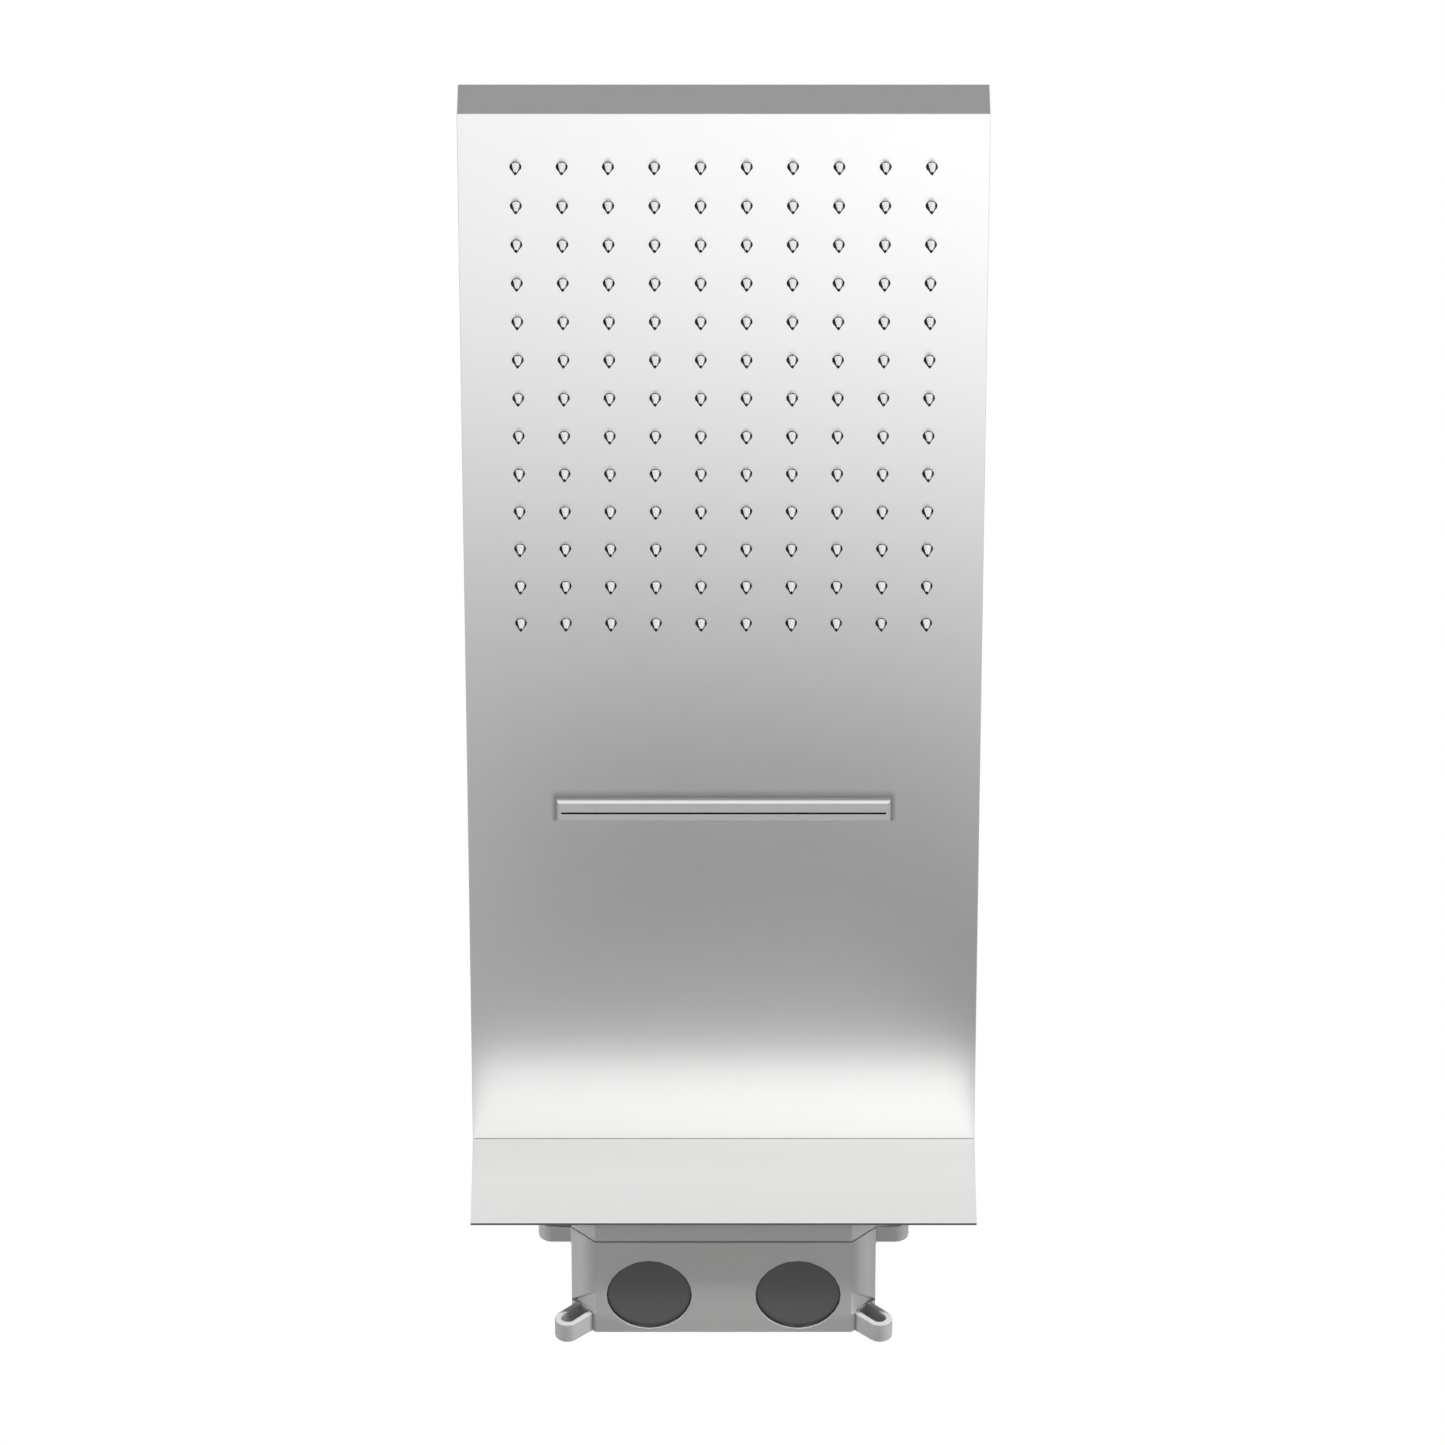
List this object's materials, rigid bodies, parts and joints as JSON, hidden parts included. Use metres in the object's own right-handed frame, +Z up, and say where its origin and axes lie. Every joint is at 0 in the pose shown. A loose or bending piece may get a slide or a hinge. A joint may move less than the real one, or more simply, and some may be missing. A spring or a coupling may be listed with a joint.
{
  "type": "wall-mounted shower head",
  "caption": "Flat rectangular steel shower head with a nozzle field and a cascade slot, on a wall plate and a chamfered in-wall box with pipe entries and fixing ears.",
  "frame": {"origin": "centre of the in-wall box's rear face, which stands against the masonry", "axes": "+Y into the wall, so the head reaches out along -Y; +Z up; +X to the right as seen from the room"},
  "size_m": [0.23, 0.6225, 0.1544],
  "materials": {
    "satin_steel": "smooth satin stainless steel",
    "zinc_plated_steel": "dull zinc-plated steel",
    "grey_silicone": "soft light grey silicone",
    "grey_box_plastic": "moulded mid grey plastic",
    "white_chamber_plastic": "moulded off-white plastic",
    "dark_rubber": "dark grey rubber",
    "brass": "machined brass",
    "valve_plastic": "moulded blue-grey acetal"
  },
  "bodies": {
    "fixture": {"box_body": "grey_box_plastic", "box_frame": "grey_box_plastic", "bracket_screw_1": "zinc_plated_steel", "bracket_screw_2": "zinc_plated_steel", "bracket_screw_3": "zinc_plated_steel", "bracket_screw_4": "zinc_plated_steel", "cascade_chamber": "white_chamber_plastic", "cascade_chamber_nut_1": "zinc_plated_steel", "cascade_chamber_nut_2": "zinc_plated_steel", "cascade_check_cartridge": "valve_plastic", "cascade_check_spring": "zinc_plated_steel", "cascade_feed_pipe": "zinc_plated_steel", "cascade_inlet_elbow": "brass", "cascade_o_ring_1": "dark_rubber", "cascade_o_ring_2": "dark_rubber", "cascade_pipe_seal": "dark_rubber", "cascade_spigot": "brass", "cascade_spout": "satin_steel", "frame_screw_1": "zinc_plated_steel", "frame_screw_2": "zinc_plated_steel", "frame_screw_3": "zinc_plated_steel", "frame_screw_4": "zinc_plated_steel", "grub_screw_1": "zinc_plated_steel", "grub_screw_2": "zinc_plated_steel", "head_cover": "satin_steel", "head_shell": "satin_steel", "nozzle_mat": "grey_silicone", "plate_seal": "dark_rubber", "rain_chamber": "white_chamber_plastic", "rain_chamber_nut_1": "zinc_plated_steel", "rain_chamber_nut_2": "zinc_plated_steel", "rain_chamber_nut_3": "zinc_plated_steel", "rain_chamber_nut_4": "zinc_plated_steel", "rain_check_cartridge": "valve_plastic", "rain_check_spring": "zinc_plated_steel", "rain_feed_pipe": "zinc_plated_steel", "rain_inlet_elbow": "brass", "rain_o_ring_1": "dark_rubber", "rain_o_ring_2": "dark_rubber", "rain_pipe_seal": "dark_rubber", "rain_spigot": "brass", "support_bracket": "zinc_plated_steel", "tongue_socket": "zinc_plated_steel", "wall_plate": "satin_steel"},
    "rain_poppet": {"rain_check_poppet": "valve_plastic"},
    "cascade_poppet": {"cascade_check_poppet": "valve_plastic"}
  },
  "joints": [
    {"name": "rain_valve_lift", "type": "slide", "parent": "fixture", "child": "rain_poppet", "axis": [0, 0, 1], "range_m": [0, 0.004], "stiffness_N_per_m": 200, "springref_m": -0.005, "deforming": ["rain_check_spring"]},
    {"name": "cascade_valve_lift", "type": "slide", "parent": "fixture", "child": "cascade_poppet", "axis": [0, 0, 1], "range_m": [0, 0.004], "stiffness_N_per_m": 200, "springref_m": -0.005, "deforming": ["cascade_check_spring"]}
  ]
}
